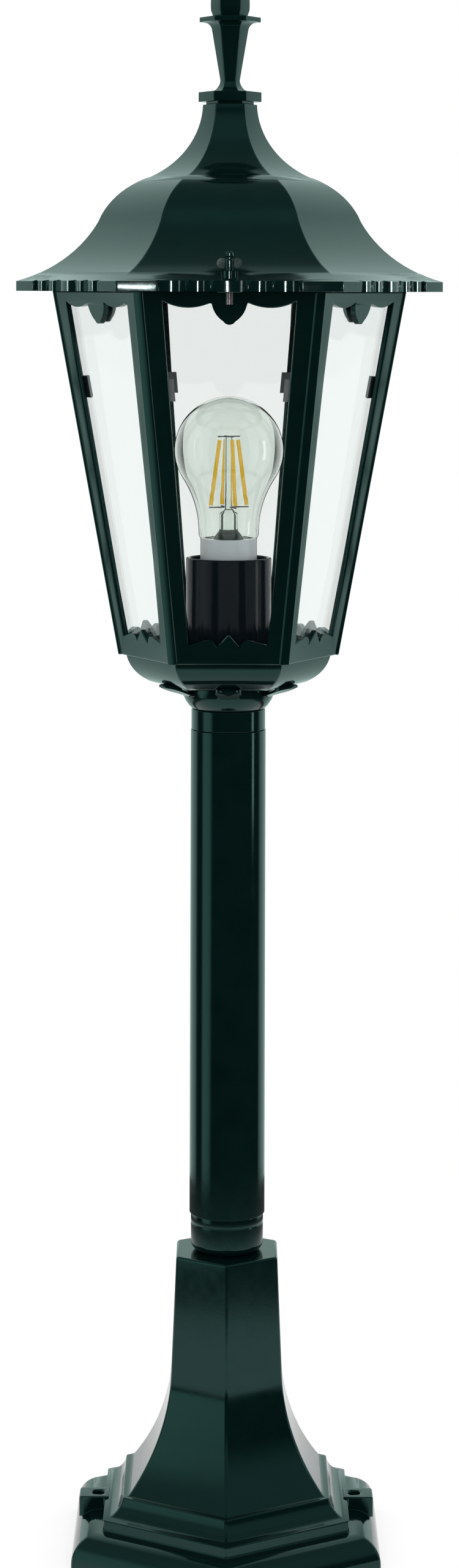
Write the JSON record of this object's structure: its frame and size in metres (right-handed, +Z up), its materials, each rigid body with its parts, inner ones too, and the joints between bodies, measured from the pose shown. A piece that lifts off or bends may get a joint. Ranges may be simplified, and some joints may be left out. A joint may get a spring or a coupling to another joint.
{
  "type": "garden lantern",
  "caption": "Dark green cast lantern on a short pole: stepped hexagonal foot, tapered glazed head with a clear bulb, ogee roof with a scalloped rim and a bud finial.",
  "frame": {"origin": "middle of the foot's underside, on the ground", "axes": "+Z up along the pole, -Y towards the front pane with its roof screw, +X to the right"},
  "size_m": [0.2396, 0.2074, 0.8885],
  "materials": {
    "coat": "dark green powder coat on cast aluminium, satin gloss",
    "zinc_steel": "zinc plated",
    "spring_steel": "spring strip",
    "pane_glass": "clear float glass",
    "holder_black": "moulded",
    "holder_white": "moulded",
    "contact_brass": "pressed strip",
    "bulb_metal": "rolled thread",
    "bulb_white": "moulded",
    "bulb_glass": "clear blown glass",
    "filament_yellow": "phosphor coated strip",
    "filament_wire": "drawn wire"
  },
  "bodies": {
    "lantern": {"foot": "coat", "pole_tube": "coat", "pole_bottom_collar": "coat", "pole_top_plug": "coat", "neck_calyx": "coat", "bowl": "coat", "lantern_frame": "coat", "roof": "coat", "finial": "coat", "base_nipple": "zinc_steel", "base_nuts": "zinc_steel", "neck_nipple": "zinc_steel", "neck_nuts": "zinc_steel", "finial_stud": "zinc_steel", "finial_washer": "zinc_steel", "finial_nut": "zinc_steel", "pane_clips": "spring_steel", "pane_front": "pane_glass", "pane_front_right": "pane_glass", "pane_rear_right": "pane_glass", "pane_rear": "pane_glass", "pane_rear_left": "pane_glass", "pane_front_left": "pane_glass", "holder_sleeve": "holder_black", "holder_insert": "holder_white", "screw_shell": "contact_brass", "centre_contact": "contact_brass", "bulb_cap": "bulb_metal", "bulb_collar": "bulb_white", "bulb_glass": "bulb_glass", "bulb_stem": "bulb_glass", "filaments": "filament_yellow", "filament_wires": "filament_wire"},
    "front_screw": {"wing_screw_front": "coat"},
    "right_screw": {"wing_screw_right": "coat"},
    "left_screw": {"wing_screw_left": "coat"}
  },
  "joints": [
    {"name": "front_screw_turn", "type": "hinge", "parent": "lantern", "child": "front_screw", "pos_m": [0, -0.095, 0.703], "axis": [0, 0, 1], "range_deg": [0, 1620]},
    {"name": "right_screw_turn", "type": "hinge", "parent": "lantern", "child": "right_screw", "pos_m": [0.08227, 0.0475, 0.703], "axis": [0, 0, 1], "range_deg": [0, 1620]},
    {"name": "left_screw_turn", "type": "hinge", "parent": "lantern", "child": "left_screw", "pos_m": [-0.08227, 0.0475, 0.703], "axis": [0, 0, 1], "range_deg": [0, 1620]}
  ]
}
